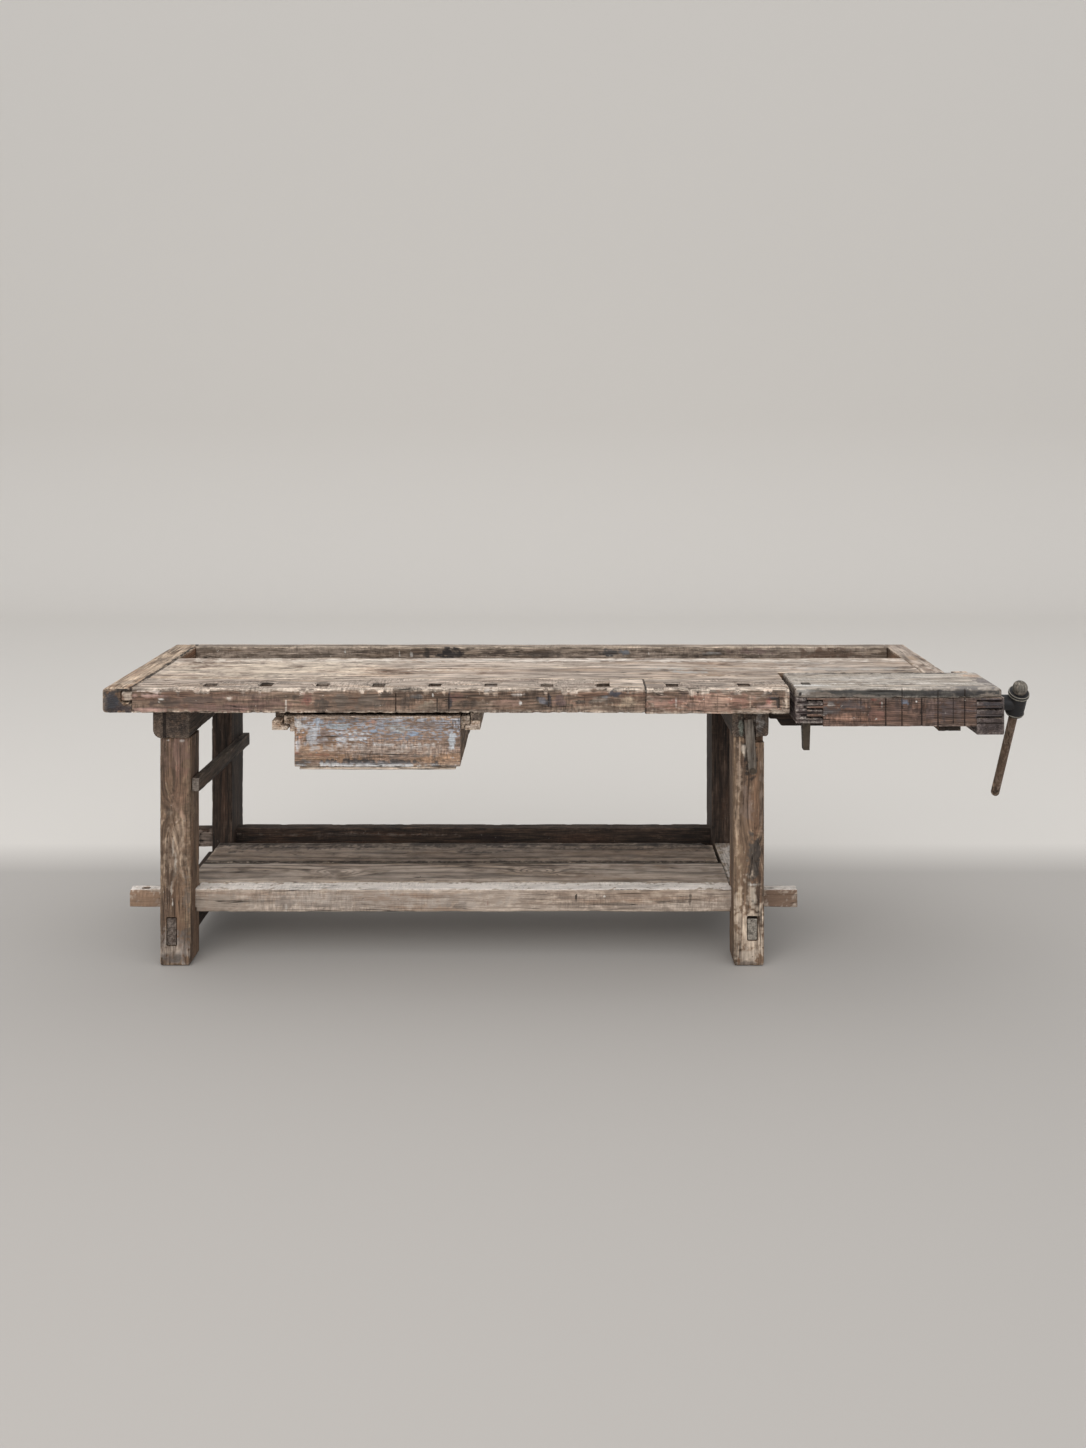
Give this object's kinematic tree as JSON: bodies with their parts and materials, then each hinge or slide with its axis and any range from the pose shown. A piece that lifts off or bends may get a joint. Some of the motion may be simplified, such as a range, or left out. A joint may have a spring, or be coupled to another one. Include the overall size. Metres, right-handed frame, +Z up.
{
  "type": "woodworking bench",
  "caption": "Joiner's workbench on trestles with a dog-hole strip, rear tool tray, hung drawer, low shelf and a wooden tail vise worked by an iron screw.",
  "frame": {"origin": "on the floor, in the middle of the bench's overall length and depth", "axes": "+X along the bench towards the tail vise, +Y from the front edge to the back, +Z up"},
  "size_m": [2.635, 0.64, 0.8053],
  "materials": {
    "forged_iron": "oiled, worn",
    "worn_strip": "old varnish and paint, worn",
    "scrubbed_top": "bare, scrubbed",
    "bleached_shelf": "bare, bleached",
    "painted_front": "worn paint",
    "drawer_wood": "bare",
    "handle_wood": "handled, dark",
    "knob_wood": "handled, dull",
    "vise_wood": "dark, worn",
    "dark_timber": "dark, dry",
    "leg_timber": "dark, worn"
  },
  "bodies": {
    "bench": {"bearer_pegs": "dark_timber", "drawer_left_runner": "drawer_wood", "drawer_right_runner": "drawer_wood", "end_cap_bolt_nuts": "forged_iron", "end_cap_bolts": "forged_iron", "front_stretcher": "bleached_shelf", "front_strip_left": "worn_strip", "front_strip_right": "worn_strip", "left_cross_rail": "leg_timber", "left_end_cap": "scrubbed_top", "left_front_leg": "leg_timber", "left_rear_leg": "dark_timber", "left_runner_spacer": "drawer_wood", "left_tie_rail": "dark_timber", "left_top_bearer": "dark_timber", "leg_tie_bar": "dark_timber", "main_slab": "scrubbed_top", "rear_rail": "scrubbed_top", "rear_stretcher": "dark_timber", "right_cross_rail": "leg_timber", "right_end_cap": "scrubbed_top", "right_front_leg": "leg_timber", "right_rear_leg": "dark_timber", "right_runner_spacer": "drawer_wood", "right_top_bearer": "dark_timber", "shelf_batten_middle": "bleached_shelf", "shelf_batten_right": "bleached_shelf", "shelf_end_board": "bleached_shelf", "shelf_front_plank": "bleached_shelf", "shelf_rear_plank": "bleached_shelf", "tie_bar_bolt": "forged_iron", "top_patch": "scrubbed_top", "tray_board": "scrubbed_top", "vise_guide_tongue": "vise_wood", "vise_nut": "forged_iron"},
    "vise": {"vise_jaw_head": "vise_wood", "vise_front_jaw": "vise_wood", "vise_end_block": "vise_wood", "vise_cover_board": "scrubbed_top", "vise_guide_rail": "vise_wood", "screw_flange": "forged_iron", "flange_screws": "forged_iron"},
    "screw": {"vise_screw": "forged_iron", "screw_thrust_ring": "forged_iron"},
    "handle": {"vise_handle": "handle_wood", "handle_knob": "knob_wood"},
    "dog": {"vise_dog": "forged_iron", "dog_spring": "forged_iron"},
    "drawer": {"drawer_back": "drawer_wood", "drawer_bottom": "drawer_wood", "drawer_front": "painted_front", "drawer_left_cleat": "drawer_wood", "drawer_left_side": "drawer_wood", "drawer_right_cleat": "drawer_wood", "drawer_right_side": "drawer_wood"}
  },
  "joints": [
    {"name": "vise_slide", "type": "slide", "parent": "bench", "child": "vise", "axis": [1, 0, 0], "range_m": [-0.0155, 0.15]},
    {"name": "screw_turn", "type": "hinge", "parent": "vise", "child": "screw", "pos_m": [1.2885, -0.22, 0.7355], "axis": [1, 0, 0], "range_deg": [-700, 6752]},
    {"name": "handle_slide", "type": "slide", "parent": "screw", "child": "handle", "axis": [0, -0.4848, 0.8746], "range_m": [0, 0.29]},
    {"name": "dog_slide", "type": "slide", "parent": "vise", "child": "dog", "axis": [0, 0, 1], "range_m": [-0.03, 0.05]},
    {"name": "drawer_slide", "type": "slide", "parent": "bench", "child": "drawer", "axis": [0, -1, 0], "range_m": [0, 0.3]}
  ],
  "couplings": [
    {"joint": "screw_turn", "follows": "vise_slide", "rad_per_m": 785.4}
  ]
}
